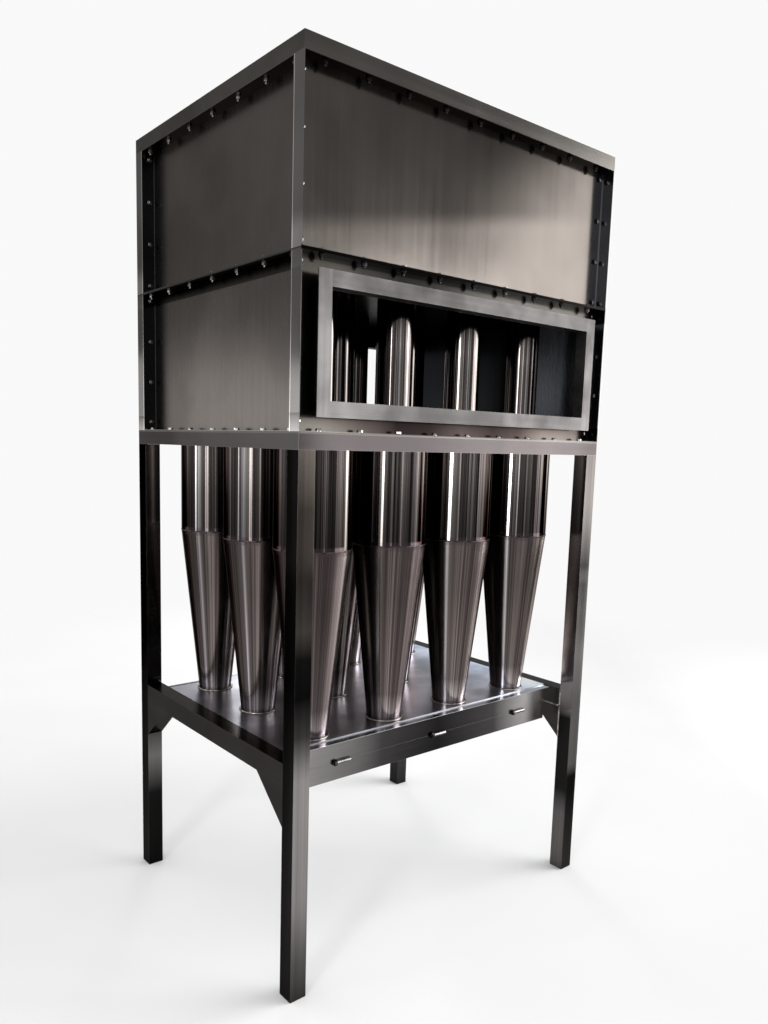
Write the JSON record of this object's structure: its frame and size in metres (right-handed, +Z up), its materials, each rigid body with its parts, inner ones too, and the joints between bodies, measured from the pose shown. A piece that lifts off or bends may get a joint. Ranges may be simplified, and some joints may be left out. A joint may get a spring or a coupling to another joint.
{
  "type": "cyclone separator",
  "caption": "Free-standing multi-cyclone dust separator: rows of small cyclones under a folded stainless gas box on a four-legged frame.",
  "frame": {"origin": "on the floor, in the middle between the four legs", "axes": "+Z up; +X to the right along the wide front; the inlet front faces -Y"},
  "size_m": [1.2, 0.93, 2.4],
  "materials": {
    "frame_tube": "mirror-bright dark stainless square tube",
    "panel_sheet": "semi-mirror dark stainless sheet with a fine vertical grain",
    "tube_plate": "satin stainless plate",
    "port_frame": "brushed light stainless angle",
    "cyclone_sheet": "mirror barrel and satin cone",
    "outlet_tube": "mirror-bright stainless tube",
    "vane_sheet": "satin stainless sheet",
    "hopper_sheet": "semi-mirror stainless plate",
    "hinge_steel": "bright steel hinge barrel"
  },
  "bodies": {
    "root": {"cyclone_front_1": "cyclone_sheet", "cyclone_front_2": "cyclone_sheet", "cyclone_front_3": "cyclone_sheet", "cyclone_front_4": "cyclone_sheet", "cyclone_middle_1": "cyclone_sheet", "cyclone_middle_2": "cyclone_sheet", "cyclone_middle_3": "cyclone_sheet", "cyclone_middle_4": "cyclone_sheet", "cyclone_rear_1": "cyclone_sheet", "cyclone_rear_2": "cyclone_sheet", "cyclone_rear_3": "cyclone_sheet", "cyclone_rear_4": "cyclone_sheet", "edge_angle_front": "hopper_sheet", "edge_angle_rear": "hopper_sheet", "hopper_plate": "hopper_sheet", "inlet_flange": "port_frame", "leg_front_left": "frame_tube", "leg_front_right": "frame_tube", "leg_gussets": "frame_tube", "leg_rear_left": "frame_tube", "leg_rear_right": "frame_tube", "lower_tube_sheet": "tube_plate", "middle_front_panel": "panel_sheet", "middle_left_panel": "panel_sheet", "middle_rear_panel": "panel_sheet", "middle_right_panel": "panel_sheet", "outlet_flange": "port_frame", "outlet_tubes": "outlet_tube", "rear_inlet_flange": "port_frame", "roof_cover": "panel_sheet", "side_rail_left": "frame_tube", "side_rail_right": "frame_tube", "skirt_strip_front": "hopper_sheet", "skirt_strip_rear": "hopper_sheet", "strip_hinges": "hinge_steel", "swirl_vanes": "vane_sheet", "top_rail_front": "frame_tube", "top_rail_left": "frame_tube", "top_rail_rear": "frame_tube", "top_rail_right": "frame_tube", "upper_front_panel": "panel_sheet", "upper_left_panel": "panel_sheet", "upper_rear_panel": "panel_sheet", "upper_right_panel": "panel_sheet", "upper_tube_sheet": "tube_plate"}
  },
  "joints": []
}
